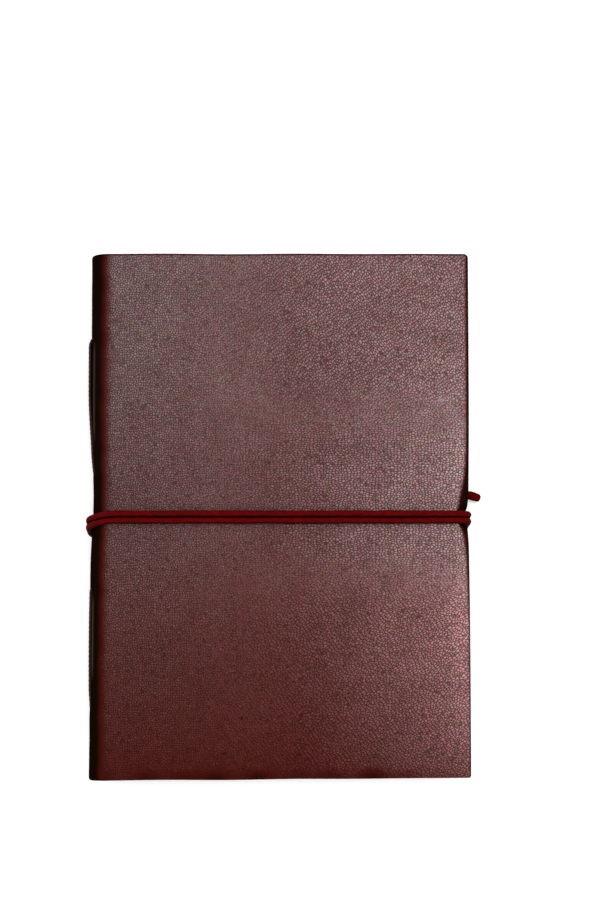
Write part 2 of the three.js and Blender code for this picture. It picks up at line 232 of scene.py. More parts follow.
def half_points(x, y, z, side):
    """Points of a half drawn as the front; side is 1 for the front half and -1 for the back."""
    x, y, z = np.broadcast_arrays(x, y, z)
    return np.stack([x, y, MID_Z + side * z], -1)


# ---- the cord's course


def cord_middle_y(along, side):
    """Y of the middle of the two strands at a distance along the hide from mid spine."""
    half_gap = STRAND_GAP / 2
    front_y = FRONT_UPPER_Y - half_gap
    spine_y = BACK_UPPER_SPINE_Y - half_gap
    middle = (front_y + spine_y) / 2
    turned = np.clip(along / (ARC_END + 1), 0, 1)
    if side > 0:
        return middle + (front_y - middle) * turned
    edge_y = BACK_UPPER_EDGE_Y - half_gap
    run = np.clip((along - ARC_END) / (LENGTH - ARC_END), 0, 1)
    return middle + (spine_y - middle) * turned + (edge_y - spine_y) * run


# ---- hide

ROLL = 2.6  # the worn roll along the upper fore-edge
FIRM_ROLL = 1.3  # and where it is less worn
HEAD_ROLL = 1.0
RIM_W = 1.2
CORNER_HEAD = 1.5  # plan radii at the fore-edge
CORNER_TAIL = 0.9
VALLEY = 0.26  # depth of the dent under the cord
VALLEY_FLOOR = 2.1  # and its half widths
VALLEY_HEAD = 5.0
VALLEY_TAIL = 3.1
MITRE_DEPTH = 0.28
PINCH = 0.95  # the cord's pull presses the spine in, most a little above the cord
PINCH_ABOVE = 9
PINCH_REACH = 15
HOLE_DEPTH = 0.35
INSIDE_SHIFT = 400  # keeps the pattern inside apart from the one outside
HEM = 12.0
LINING_RECESS = 0.5


def hide_profile(along):
    """X, height and inward direction on the outer face, by distance from mid spine."""
    turn = np.clip((along - SPINE_FLAT) / SPINE_R, 0, math.pi / 2)
    x = SPINE_X + SPINE_R * (1 - np.cos(turn)) + np.clip(along - ARC_END, 0, None)
    z = np.minimum(along, SPINE_FLAT) + SPINE_R * np.sin(turn)
    return x, z, np.cos(turn), -np.sin(turn)


def rounded_corner(a, b, radius):
    """Distances from two edges, pulled in so that the outline turns the corner on an arc."""
    x, y = np.clip(1 - a / radius, 0, 1), np.clip(1 - b / radius, 0, 1)
    far, near = np.maximum(x, y), np.minimum(x, y)
    angle = near / np.maximum(far, 1e-9) * math.pi / 4
    long_side, short_side = far * np.cos(angle), far * np.sin(angle)
    new_x = np.where(x >= y, long_side, short_side)
    new_y = np.where(x >= y, short_side, long_side)
    corner = (x > 0) & (y > 0)
    a_new = np.where(corner, radius * (1 - new_x), a)
    b_new = np.where(corner, radius * (1 - new_y), b)
    inside = np.where(corner, radius * (1 - far), np.minimum(a, b))
    return a_new, b_new, inside


def edge_steps(width, count):
    """Distances from an edge that bunch up towards it, for a round rim."""
    return width * (1 - np.cos(np.linspace(0, math.pi / 2, count)))


def rim_drop(a, b, inside, width_a, width_b, thickness):
    """How far a face falls back towards mid thickness near its edges."""
    qa, qb = np.clip(1 - a / width_a, 0, 1), np.clip(1 - b / width_b, 0, 1)
    rim = np.clip(1 - inside / 0.7, 0, 1)
    q = np.maximum(np.minimum(np.hypot(qa, qb), 1), rim)
    return thickness / 2 * (1 - np.sqrt(1 - q * q))


def hide_grid():
    near_edge = np.unique(np.concatenate([edge_steps(ROLL, 8), edge_steps(RIM_W, 6)]))
    hem_lines = np.array([-0.6, -0.2, 0.2, 0.6])
    cover = LENGTH - ARC_END
    a = np.concatenate([
        near_edge,
        np.arange(ROLL + 0.8, cover, 0.95),
        HEM + hem_lines,
        EDGE_X - LINING_LOW[0] + hem_lines,
    ])
    along = np.concatenate([
        np.linspace(0, SPINE_FLAT, 7),
        np.linspace(SPINE_FLAT, ARC_END, 18)[1:],
        LENGTH - a,
    ])
    rim = edge_steps(RIM_W, 6)
    stitch = np.array([-1.1, -0.75, -0.4, 0, 0.4, 0.75, 1.1])
    y = np.concatenate([
        TAIL_Y + rim,
        HEAD_Y - rim,
        np.arange(TAIL_Y + 2, HEAD_Y - 1.6, 0.95),
        TAIL_Y + HEM + hem_lines,
        HEAD_Y - HEM + hem_lines,
        *[station + stitch for station in STATIONS],
    ])
    return np.unique(np.round(along, 3)), np.unique(np.round(y, 3))


def spine_pinch(off_cord):
    """How far the spine is pressed in, by distance above the cord."""
    return PINCH * bell(off_cord - PINCH_ABOVE, PINCH_REACH)


def thread_heights():
    step = 2 * SHEETS * LEAF_PITCH
    return [step * (i + 0.5) for i in range(SIGNATURES // 2)]


def stitch_dimples(along, y):
    holes = np.zeros(np.broadcast(along, y).shape)
    for height in thread_heights():
        for station in STATIONS:
            holes += np.exp(-(((along - height) ** 2 + (y - station) ** 2) / 0.45))
    return HOLE_DEPTH * holes


def outer_depth(a, b, inside, along, y, off_cord, thickness, side):
    """How far the grain face lies inside the hide's plain outline."""
    on_cover = smooth(ARC_END, ARC_END + 4, along)
    wide_roll = np.maximum(smooth(-34, -12, y), bell(off_cord, 9))
    reach = np.where(off_cord > 0, VALLEY_HEAD, VALLEY_TAIL)
    valley = VALLEY * (1 - smooth(VALLEY_FLOOR, reach, np.abs(off_cord)))
    swell = 0.10 * waves(along, y, 7 + side) + 0.04 * waves(along, y, 17 + side, (14, 11, 8, 6.5))
    depth = rim_drop(a, b, inside, FIRM_ROLL + (ROLL - FIRM_ROLL) * wide_roll, HEAD_ROLL, thickness)
    depth = depth + valley + spine_pinch(off_cord) * (1 - on_cover)
    return depth + (swell + 0.1) * smooth(0, 5, inside) + stitch_dimples(along, y)


def inner_depth(a, b, inside, along, y, thickness, side):
    """How deep the inner face lies: the hem's frame, its mitred corners and the lining's bed."""
    on_cover = smooth(ARC_END, ARC_END + 4, along)
    window = np.minimum(
        smooth(HEM - 0.5, HEM + 0.5, a) * smooth(HEM - 0.5, HEM + 0.5, b),
        smooth(LINING_LOW[0] - 0.5, LINING_LOW[0] + 0.5, EDGE_X - a),
    )
    mitre = bell(a - b, 0.7) * (a < HEM) * smooth(1.0, 2.5, inside)
    depth = thickness - rim_drop(a, b, inside, RIM_W, RIM_W, thickness)
    depth = depth - LINING_RECESS * window - MITRE_DEPTH * mitre * (1 - window) * on_cover
    return depth + 0.05 * waves(along, y, 27 + side, (19, 13, 9)) * smooth(0, 5, inside)


def cord_pull(off_cord):
    """How far the cord draws the soft fore-edge in."""
    pull = 0.35 * bell(off_cord, 24) + 0.6 * bell(off_cord, 6)
    return pull + 0.75 * np.exp(-((off_cord / 2.9) ** 4))


def hide_half(side, name):
    """The hide from mid spine to one fore-edge: outer grain face, rolled rim and turned-in hem."""
    along, y = np.meshgrid(*hide_grid(), indexing="ij")
    a = LENGTH - along
    b = np.minimum(HEAD_Y - y, y - TAIL_Y)
    a, b, inside = rounded_corner(a, b, np.where(y > 0, CORNER_HEAD, CORNER_TAIL))
    along = LENGTH - a
    y = np.where(y > 0, HEAD_Y - b, TAIL_Y + b)
    off_cord = y - cord_middle_y(along, side)
    on_cover = smooth(ARC_END, ARC_END + 4, along)
    thickness = SPINE_T + (COVER_T - SPINE_T) * on_cover

    outer = outer_depth(a, b, inside, along, y, off_cord, thickness, side)
    inner = inner_depth(a, b, inside, along, y, thickness, side)
    rim = inside <= 1e-6
    middle = (outer + inner) / 2
    outer, inner = np.where(rim, middle, outer), np.where(rim, middle, inner)

    x, z, in_x, in_z = hide_profile(along)
    x = x - cord_pull(off_cord) * (1 - smooth(0, 9, a))
    slant = TAIL_SLANT * (EDGE_X - x) / WIDTH * (HEAD_Y - y) / (HEAD_Y - TAIL_Y)
    y_cut = y - slant + 0.12 * waves(along, 0 * y, 41, (60, 37, 23)) * smooth(6, 0, b)
    faces = [half_points(x + in_x * d, y_cut, z + in_z * d, side) for d in (outer, inner)]

    def both(outside_values, inside_values):
        return np.concatenate([outside_values.ravel(), (inside_values + 0 * y).ravel()])

    made = mesh_object(
        name,
        np.concatenate([f.reshape(-1, 3) for f in faces]),
        shell_faces(*along.shape, rim),
        flat=np.concatenate([
            np.stack([side * along, y, 0 * y], -1).reshape(-1, 3),
            np.stack([side * along, y + INSIDE_SHIFT, 0 * y], -1).reshape(-1, 3),
        ]),
        # burnish and shade: the dark edges, partly burnish and partly painted shade; inside, darker near the
        # rim
        burnish=both(edge_burnish(a, b, along, off_cord, y), 0.25 + 0.5 * np.exp(-inside / 1.2)),
        suede=both(0 * y, (1 - on_cover) * (inside > 0.6)),
        pale=both(toward_edge(along), 1),
        upper=both(smooth(20, 50, y), 0),
        lower=both(smooth(-8, -35, y), 0),
        # a painted highlight on the spine's shoulder
        ridge=both(taut_ridge(along, y), 0),
        # painted sheen: the light's reflection painted into the colour as a mauve grey
        bloom=both(wax_bloom(along, y), 0.12),
    )
    return clean_shell(made)


# Where the edges are painted dark: partly burnish, partly painted shade where the spine turns away and the
# edges roll over.
SPINE_DARK = (-5.0, 3.9)  # where the dark spine begins to fade and ends, from its shoulder's end
LOW_SPINE_DARK_SHORT = 1.2
FORE_BAND = 2.4  # width of the dark fore-edge
FORE_BAND_BY_CORD = 1.9  # and how much wider it is by the cord
LOW_FORE_BAND = 1.5
HEAD_BAND = (0.2, 1.2)
TAIL_BAND = (1.0, 6.2)


def edge_burnish(a, b, along, off_cord, y):
    """How dark the edges are, partly burnish and partly painted shade where the spine turns away and the
    edges roll over: along the spine, the fore-edge, the head and the tail.
    """
    spine_end = ARC_END + SPINE_DARK[1] - LOW_SPINE_DARK_SHORT * smooth(30, -10, y)
    ragged = along + 0.4 * waves(y, 0 * y, 5, (31, 17, 9))
    spine = 1 - smooth(ARC_END + SPINE_DARK[0], spine_end, ragged)

    fore_strength = 0.62 + 0.2 * bell(off_cord, 30) * (off_cord > 0)
    wide_roll = np.maximum(fore_strength * smooth(-42, -8, y), bell(off_cord, 9))
    band = FORE_BAND + FORE_BAND_BY_CORD * bell(off_cord - 4, 9)
    sharp = 0.6 * bell(off_cord - 2, 12)
    wide = 1 - smooth(sharp * band, band, a)
    thin = 0.5 * (1 - smooth(0.0, LOW_FORE_BAND, a))
    fore = wide_roll * wide + (1 - wide_roll) * thin

    head = 0.75 * (1 - smooth(*HEAD_BAND, b)) * (y > 0)
    uneven = 0.75 + 0.35 * waves(along, 0 * along, 43, (37, 19, 11))
    near_spine = 1 - 0.6 * smooth(LENGTH - 40, LENGTH - 8, along)
    tail = 0.72 * uneven * near_spine * (1 - smooth(*TAIL_BAND, b)) * (y < 0)
    return np.clip(np.maximum.reduce([spine, fore, head, tail]), 0, 1)


def across_cover(along):
    """0 at the spine's shoulder and 1 at the fore-edge."""
    return np.clip((along - ARC_END) / (LENGTH - ARC_END), 0, 1)


def toward_edge(along):
    """Where the grain grows coarser and the painted sheen paler."""
    return smooth(-0.1, 0.8, across_cover(along))


def taut_ridge(along, y):
    """A thin painted highlight on the spine's shoulder, along the long stitches."""
    line = bell(along - SPINE_FLAT - 3.9, 0.4)
    by_stitch = smooth(STATIONS[1] + 8, STATIONS[1] + 18, y) * smooth(STATIONS[0], STATIONS[0] - 6, y)
    by_low_stitch = smooth(STATIONS[3] + 8, STATIONS[3] + 16, y) * smooth(STATIONS[2], STATIONS[2] - 6, y)
    return line * (by_stitch + by_low_stitch)


# Strengths of the painted sheen, the light's reflection painted into the hide's colour:
PAINTED_SHEEN_HEAD = 0.38  # by the spine at the head; it fades towards the tail
PAINTED_SHEEN_MIDDLE_LESS = 0.115
PAINTED_SHEEN_FORE = 0.26
PAINTED_SHEEN_RIM = 0.12
PAINTED_SHEEN_BY_SPINE = 0.03
PAINTED_SHEEN_LOW_EDGE = 0.038


def wax_bloom(along, y):
    """How much painted sheen, the light's reflection painted as a mauve grey: most by the fore-edge, least
    by the tail.
    """
    across = across_cover(along)
    up = np.clip((y - TAIL_Y) / (HEAD_Y - TAIL_Y), 0, 1)
    ground = up ** 1.15 * (PAINTED_SHEEN_HEAD - PAINTED_SHEEN_MIDDLE_LESS * smooth(0, 0.5, across))
    fore_strength = np.clip((across - 0.5) / 0.5, 0, 1) ** 1.6
    fore_strength = fore_strength * smooth(-0.35, 0.3, up) * (1 - smooth(0.62, 0.98, up))
    rim = smooth(0.9, 1.0, across) * smooth(0.75, 0.5, up) * smooth(-0.02, 0.2, up)
    by_spine = (1 - smooth(0.15, 0.6, across)) * bell(up - 0.58, 0.15)
    low_edge = smooth(0.35, 0.9, across) * smooth(0.66, 0.5, up) * smooth(0.0, 0.3, up)
    patches = PAINTED_SHEEN_RIM * rim + PAINTED_SHEEN_BY_SPINE * by_spine + PAINTED_SHEEN_LOW_EDGE * low_edge
    return ground + PAINTED_SHEEN_FORE * fore_strength + patches


def hinge_blend(piece):
    """Bakes a piece's placement into its mesh."""
    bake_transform(piece)


# ---- inside the covers


def slab(name, corner_low, corner_high, side, spacing, puff, seed):
    """A thin sheet with a soft rim and a slightly uneven face, given in a half's own heights."""
    edge = edge_steps(0.5, 4)
    axes = []
    for low_value, high_value in zip(corner_low[:2], corner_high[:2]):
        inner = np.arange(low_value + 0.8, high_value - 0.7, spacing)
        axes.append(np.concatenate([low_value + edge, inner, high_value - edge[::-1]]))
    x, y = np.meshgrid(*axes, indexing="ij")
    a = np.minimum(x - corner_low[0], corner_high[0] - x)
    b = np.minimum(y - corner_low[1], corner_high[1] - y)
    a_new, b_new, inside = rounded_corner(a, b, 0.8)
    x = np.where(x < (corner_low[0] + corner_high[0]) / 2, corner_low[0] + a_new, corner_high[0] - a_new)
    y = np.where(y < (corner_low[1] + corner_high[1]) / 2, corner_low[1] + b_new, corner_high[1] - b_new)
    thick = corner_high[2] - corner_low[2]
    drop = rim_drop(a_new, b_new, inside, 0.5, 0.5, thick)
    uneven = puff * waves(x, y, seed, (33, 21, 12)) * smooth(0, 3, inside)
    rim = inside <= 1e-6
    faces = [
        half_points(x, y, corner_high[2] - drop, side),
        half_points(x, y, corner_low[2] + drop + uneven, side),
    ]
    points = np.concatenate([f.reshape(-1, 3) for f in faces])
    made = mesh_object(name, points, shell_faces(*x.shape, rim), flat=points)
    return clean_shell(made)


def cover_lining(side, name):
    bed = HALF_T - COVER_T + LINING_RECESS
    margin = 0.1
    return slab(
        name,
        (LINING_LOW[0] + margin, LINING_LOW[1] + margin, bed - 0.3),
        (LINING_HIGH[0] - margin, LINING_HIGH[1] - margin, bed + 0.15),
        side, 1.6, 0.05, 51,
    )


def cover_board(side, name):
    top = HALF_T - (BOARD_LOW[2] - BACK_Z)
    return slab(
        name,
        (BOARD_LOW[0], BOARD_LOW[1], top - (BOARD_HIGH[2] - BOARD_LOW[2])),
        (BOARD_HIGH[0], BOARD_HIGH[1], top),
        side, 6.0, 0.0, 61,
    )


# ---- paper

FOLD_STEPS = 9
STUB_GAP = 1.2  # STUB_GAP = 1.2 # the front and back leaves begin this far before their place in the frame
NEAR_LEAF_EDGE = np.array([4, 2.4, 1.2, 0.5, 0])


def deckle(along_edge, seed, depth):
    """The torn-soft outline of handmade paper."""
    rng = np.random.default_rng(seed)
    total = np.zeros_like(along_edge, dtype=float)
    for length, height in ((41, 0.35), (17, 0.25), (7.3, 0.22), (3.1, 0.16), (1.7, 0.1)):
        shift, stretch = rng.uniform(0, 2 * math.pi), rng.uniform(0.8, 1.25)
        total += height * np.sin(along_edge * 2 * math.pi / (length * stretch) + shift)
    return depth * (total - 0.35)


def signature_places(index):
    """The middle of a signature's fold, from the frame: x, z and the outer sheet's radius."""
    node = f"signature_{index}_sheet_1"
    low_corner, high_corner = low(node), high(node)
    radius = (high_corner[2] - low_corner[2]) / 2
    return low_corner[0] + radius, (low_corner[2] + high_corner[2]) / 2, radius


def paper_strip(name, path, depth_in, seed):
    """A sheet of paper that follows a path in X and Z: points with their inward normals."""
    path_x, path_z, normal_x, normal_z, end_share = path
    y_line = np.linspace(-1, 1, 132)
    rows, columns = len(path_x), len(y_line)

    def across(values):
        return np.repeat(values[:, None], columns, 1)

    share = across(end_share)
    trim_head = deckle(path_x + path_z, seed, 0.7)[:, None]
    trim_tail = deckle(path_x - path_z, seed + 1, 0.7)[:, None]
    head, tail = LEAF_HEAD_Y + trim_head, LEAF_TAIL_Y - trim_tail
    y = (head + tail) / 2 + y_line[None, :] * (head - tail) / 2
    x = across(path_x) + share * deckle(y, seed + 2, 0.75)
    outer = np.stack([x, y, across(path_z)], -1)
    inner = outer + np.stack([across(normal_x * depth_in), 0 * y, across(normal_z * depth_in)], -1)
    points = np.concatenate([outer.reshape(-1, 3), inner.reshape(-1, 3)])
    rim = np.zeros((rows, columns), bool)
    along = np.concatenate([[0], np.cumsum(np.hypot(np.diff(path_x), np.diff(path_z)))])
    flat = np.stack([across(along), y, 0 * y + seed * 13.7], -1)
    edge = np.clip((np.abs(y_line)[None, :] - 0.985) / 0.015, 0, 1) + smooth(0.9, 1, share)
    made = mesh_object(
        name, points, shell_faces(rows, columns, rim),
        flat=np.concatenate([flat.reshape(-1, 3)] * 2),
        edge=np.concatenate([edge.ravel()] * 2),
    )
    return clean_shell(made)


def leg(start_x, end_x):
    """X positions along a leaf from near its fold to its fore-edge, with each one's deckle share."""
    x = np.concatenate([np.linspace(start_x, end_x - 6, 22), end_x - NEAR_LEAF_EDGE])
    return x, smooth(end_x - 5, end_x, x)


def sheet_path(centre_x, centre_z, radius, near_leg, side=1):
    """From the end of one leaf round the fold to the other leaf's fore-edge."""
    near_x, near_share = near_leg
    far_x, far_share = leg(centre_x, LEAF_X)
    turn = np.linspace(0, math.pi, FOLD_STEPS)[1:-1]
    x = np.concatenate([near_x, centre_x - radius * np.sin(turn), far_x])
    z = np.concatenate([radius + 0 * near_x, radius * np.cos(turn), -radius + 0 * far_x])
    nx = np.concatenate([0 * near_x, np.sin(turn), 0 * far_x])
    nz = np.concatenate([-1 + 0 * near_x, -np.cos(turn), 1 + 0 * far_x])
    share = np.concatenate([near_share, 0 * turn, far_share])
    return x, centre_z + side * z, nx, side * nz, share


def turning_leaf(side, sheet, stub_end, centre_z, radius, look):
    """A flat leaf from just before its fold out to its fore-edge, level with its signature's outer sheet."""
    cad_name = f"{'front' if side > 0 else 'back'}_leaf_{sheet}"
    x = np.concatenate([
        np.linspace(stub_end, stub_end + 18, 16),
        np.linspace(stub_end + 22, LEAF_X - 6, 20),
        LEAF_X - NEAR_LEAF_EDGE,
    ])
    z = centre_z + side * radius
    path = (x, z + 0 * x, 0 * x, -side + 0 * x, smooth(LEAF_X - 5, LEAF_X, x))
    leaf = paper_strip(cad_name + "_page", path, LEAF_T, 300 + 10 * sheet + side)
    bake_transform(leaf)
    stand_in(leaf, look, "paper", cad_name)


def text_block(look):
    stub_end = LEAF_START - STUB_GAP
    for index in range(1, SIGNATURES + 1):
        centre_x, centre_z, outer_radius = signature_places(index)
        for sheet in range(1, SHEETS + 1):
            radius = outer_radius - (sheet - 1) * LEAF_PITCH
            node = f"signature_{index}_sheet_{sheet}"
            if index in (1, SIGNATURES):
                side = 1 if index == 1 else -1
                stub_x = np.linspace(stub_end, centre_x, 4)
                path = sheet_path(centre_x, centre_z, radius, (stub_x, 0 * stub_x), side)
                turning_leaf(side, sheet, stub_end, centre_z, radius, look)
            else:
                near_leg = [values[::-1] for values in leg(centre_x, LEAF_X)]
                path = sheet_path(centre_x, centre_z, radius, near_leg)
            folded = paper_strip(node + "_paper", path, LEAF_T, 20 * index + sheet)
            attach(folded, "spine")
            stand_in(folded, look, "paper", node)


# ---- cord and thread


def frames_along(path):
    """Two directions square to a path at each of its points, carried along without twist."""
    tangent = np.gradient(path, axis=0)
    tangent /= np.linalg.norm(tangent, axis=1)[:, None]
    first = np.cross(tangent[0], (0, 1, 0))
    if np.linalg.norm(first) < 1e-3:
        first = np.array((1.0, 0, 0))
    normals = [first / np.linalg.norm(first)]
    for t in tangent[1:]:
        n = normals[-1] - t * (normals[-1] @ t)
        normals.append(n / np.linalg.norm(n))
    normals = np.array(normals)
    return tangent, normals, np.cross(tangent, normals)


def resample(path, spacing):
    path = np.asarray(path, float)
    reach = np.concatenate([[0], np.cumsum(np.linalg.norm(np.diff(path, axis=0), axis=1))])
    even = np.linspace(0, reach[-1], max(4, int(reach[-1] / spacing)))
    return np.stack([np.interp(even, reach, path[:, k]) for k in range(3)], -1), even


def rounded_path(path, passes):
    """Softens a path's corners and keeps its ends."""
    path = np.array(path, float)
    for _ in range(passes):
        path[1:-1] = path[1:-1] * 0.5 + (path[:-2] + path[2:]) * 0.25
    return path


def tube(name, path, radius_at, spacing, seed, sides=20, domes=(0.2, 0.2)):
    """A closed rod along a path. radius_at(angle, reach) gives its section; domes round its ends."""
    path, reach = resample(path, spacing)
    tangent, first, second = frames_along(path)
    angle = np.linspace(0, 2 * math.pi, sides, endpoint=False)
    rings, reaches = [], []
    end_steps = np.linspace(0, math.pi / 2, 5)[1:-1]

    def ring(i, shrink, ahead):
        r = radius_at(angle, reach[i]) * shrink
        centre = path[i] + tangent[i] * ahead
        rings.append(centre + np.outer(r * np.cos(angle), first[i]) + np.outer(r * np.sin(angle), second[i]))
        reaches.append(reach[i] + ahead)

    for step in end_steps[::-1]:
        ring(0, math.cos(step), -domes[0] * math.sin(step))
    for i in range(len(path)):
        ring(i, 1, 0)
    for step in end_steps:
        ring(len(path) - 1, math.cos(step), domes[1] * math.sin(step))
    rings, reaches = np.array(rings), np.array(reaches)
    count = len(rings)
    tips = np.array([rings[0].mean(0), rings[-1].mean(0)])
    index = np.arange(count * sides).reshape(count, sides)
    wrapped = np.concatenate([index, index[:, :1]], 1)
    faces = [grid_quads(wrapped)]
    for row, tip in ((wrapped[0, ::-1], count * sides), (wrapped[-1], count * sides + 1)):
        pairs = row[:-1:2], row[1::2], row[2::2]
        faces.append(np.stack([pairs[0], pairs[1], pairs[2], np.full(len(pairs[0]), tip)], -1))
    points = np.concatenate([rings.reshape(-1, 3), tips])
    girth = np.repeat(angle[None, :], count, 0)
    flat = np.stack([
        np.cos(girth) * 1.2, np.sin(girth) * 1.2, np.repeat(reaches[:, None], sides, 1) + seed * 97,
    ], -1).reshape(-1, 3)
    flat = np.concatenate([flat, flat[[0, -1]]])
    # outer: 1 facing along the first direction either way, 0 on the flanks; the cord's look paints shade on
    # the flanks from it
    outer = np.concatenate([np.abs(np.cos(girth)).ravel(), [1, 1]])
    made = mesh_object(name, points, np.concatenate(faces), flat=flat, outer=outer)
    return clean_shell(made)


def cord_section(seed):
    """A soft round cord: not quite even, a little flattened here and there."""
    phases = np.random.default_rng(seed).uniform(0, 2 * math.pi, 5)

    def radius_at(angle, reach):
        bulge = 0.022 * math.sin(reach / 3.1 + phases[0]) + 0.018 * math.sin(reach / 1.3 + phases[1])
        lobes = 0.02 * np.cos(2 * angle + reach / 9 + phases[2])
        lobes = lobes + 0.014 * np.cos(3 * angle - reach / 4 + phases[3])
        fuzz = 0.012 * np.cos(7 * angle + reach * 2.1 + phases[4])
        return CORD_R * (1 + bulge + lobes + fuzz)

    return radius_at


EDGE_BEND = 2.2  # the cord's radius round the fore-edge
SPINE_SINK = 0.45  # how far it presses in on the spine


def cord_path(side, strand):
    """Middle line of one strand over one half, from mid spine over the cover to the fore-edge."""
    along = np.concatenate([np.linspace(0, ARC_END, 26), np.linspace(ARC_END + 1, LENGTH - 5, 110)])
    x, z, in_x, in_z = hide_profile(along)
    lift = CORD_HEIGHT - SPINE_SINK * (1 - smooth(ARC_END - 2, ARC_END + 3, along))
    lift = lift + 0.05 * waves(along, 0 * along, 70 + strand + 3 * side, (27, 15, 9))
    x, z = x - in_x * lift, z - in_z * lift
    y = cord_middle_y(along, side) + (0.5 - strand) * STRAND_GAP
    y = y + 0.07 * waves(along, 0 * along, 80 + strand, (44, 23, 12)) * smooth(ARC_END, ARC_END + 9, along)
    turn = np.linspace(0, math.pi / 2, 9)
    corner_x = EDGE_CORD_X - EDGE_BEND + EDGE_BEND * np.sin(turn)
    corner_z = HALF_T + CORD_HEIGHT - EDGE_BEND + EDGE_BEND * np.cos(turn)
    down = np.linspace(corner_z[-1], side * CORD_MEET_Z, 20)[1:]
    edge_x = np.concatenate([corner_x, EDGE_CORD_X + 0 * down])
    edge_z = np.concatenate([corner_z, down])
    reach = np.concatenate([[0], np.cumsum(np.hypot(np.diff(edge_x), np.diff(edge_z)))])
    meet_y = EDGE_UPPER_Y - strand * STRAND_GAP
    edge_y = y[-1] + (meet_y - y[-1]) * reach / reach[-1]
    path = np.concatenate([np.stack([x, y, z], -1), np.stack([edge_x, edge_y, edge_z], -1)])
    path[:, 2] = MID_Z + side * path[:, 2]
    return rounded_path(path, 2)


def wound_cord(look):
    for side, half, body in HALVES:
        for strand, label in enumerate(("upper", "lower")):
            name = f"cord_{half}_{label}_strand"
            piece = tube(name, cord_path(side, strand), cord_section(90 + strand), domes=(0.01, 0.05),
                         spacing=0.5, seed=strand)
            hinge_blend(piece)
            stood_for = [f"cord_{half}_{label}", f"cord_spine_{label}"]
            if side > 0:
                stood_for.append(f"cord_edge_{label}")
            stand_in(piece, look, "cord", *stood_for)


TIP_BELOW_TOP = 2.32  # from the loose end's highest point down to its tip's axis
TIP_SWELL = 0.4  # the cut end is thicker by this share, and thinner again at its very tip
TIP_TAPER = 0.12

# The loose end's course: distance back from its tip, and height above the tip.
LOOSE_END = [(28.2, -7.6), (21.2, -6.5), (14.2, -2.7), (9.7, 0.4), (6.2, 1.55), (3.0, 0.85), (0.9, 0.15)]


def cord_tail(look):
    """The loose end: beside the back strands, then out past the fore-edge to its swollen cut end."""
    tip = high("cord_tail")
    tip_y = tip[1] - TIP_BELOW_TOP
    path = [(tip[0] - back, tip_y + rise, BACK_Z - CORD_HEIGHT) for back, rise in LOOSE_END]
    path = rounded_path(resample(path, 0.8)[0], 8)
    whole = np.linalg.norm(np.diff(path, axis=0), axis=1).sum()
    base = cord_section(99)

    def radius_at(angle, reach):
        swell = 1 + TIP_SWELL * float(smooth(whole - 6.5, whole - 4.0, reach))
        swell = swell - TIP_TAPER * float(smooth(whole - 1.6, whole, reach))
        return base(angle, reach) * swell

    piece = tube("cord_loose_end", path, radius_at, domes=(0.5, 1.25), spacing=0.4, seed=5)
    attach(piece, "back_cover")
    stand_in(piece, look, "cord", "cord_tail")


THREAD_R = 0.36
THREAD_BOW = 0.95  # from the frame's bowed thread in to its seat on the spine
THREAD_INSIDE = 0.1  # the thread inside lies this far past the fold's centre
KNOT_PAST_HOLE = 1.0
KNOT_SIZE = 0.9
UPPER_SLACK = 0.8  # how far a long stitch stands off the spine
LOWER_SLACK = 0.2
SUNK_START = 0.42  # how far a stitch sinks into the hide at its two ends
SUNK_END = 0.67


def thread_line(in_x, out_x, height, index):
    """In and out through the four stations; the long stitches bow off the spine a little."""
    a, b, c, d = STATIONS
    cord_y = cord_middle_y(0.0, 1)

    def seat(y, sunk):
        return out_x + sunk + spine_pinch(y - cord_y)

    stops = [
        (in_x, a + THREAD_END), (in_x, a), (out_x, a), (seat(b, SUNK_END), b), (in_x, b),
        (in_x, c), (seat(c, SUNK_START), c), (seat(d, SUNK_END), d), (in_x, d),
        (in_x, d - THREAD_END),
    ]
    line = []
    for (x0, y0), (x1, y1) in zip(stops, stops[1:]):
        share = np.linspace(0, 1, max(3, int(abs(y1 - y0))))[:-1]
        outside = in_x not in (x0, x1)
        y = y0 + (y1 - y0) * share
        varied = math.sin(index * 1.7)
        if y0 > 0:
            slack = UPPER_SLACK + 0.1 * varied
            slack = slack * smooth(0, 0.04, share) * smooth(0.85, 0.4, share)
        else:
            slack = (LOWER_SLACK + 0.08 * varied) * np.sin(math.pi * share)
        sunk = SUNK_START + (SUNK_END - SUNK_START) * smooth(0.85, 1.0, share)
        bow = (slack - sunk - spine_pinch(y - cord_y)) * outside
        wander = 0.18 * np.sin(share * 5 + index) * np.sin(math.pi * share) * outside
        base = out_x if outside else x0 + (x1 - x0) * share
        line += list(np.stack([base - bow, y, height + wander], -1))
    line.append((in_x, d - THREAD_END, height))
    return line


def thread_section(knot_reach, knot_size):
    """Two plies twisted together, thicker at the knot."""

    def radius_at(angle, reach):
        knot = 1 + knot_size * math.exp(-(((reach - knot_reach) / 1.0) ** 2))
        return THREAD_R * knot * (1 + 0.1 * np.cos(2 * (angle - reach * 1.9)))

    return radius_at


def sewing_threads(look):
    """One two-ply thread for each signature; the two middle ones are knotted near the head."""
    for index in range(1, SIGNATURES + 1):
        node = f"sewing_thread_{index}"
        centre_x, height, _ = signature_places(index)
        out_x = low(node)[0] + THREAD_BOW
        in_x = centre_x + THREAD_INSIDE
        knot_reach = THREAD_END + (in_x - out_x) + KNOT_PAST_HOLE
        middle = index in (SIGNATURES // 2, SIGNATURES // 2 + 1)
        path = rounded_path(resample(thread_line(in_x, out_x, height, index), 0.35)[0], 2)
        section = thread_section(knot_reach, KNOT_SIZE if middle else 0.0)
        piece = tube(f"{node}_twist", path, section, sides=10, spacing=0.35, seed=index)
        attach(piece, "spine")
        stand_in(piece, look, "thread", node)


# ---- materials


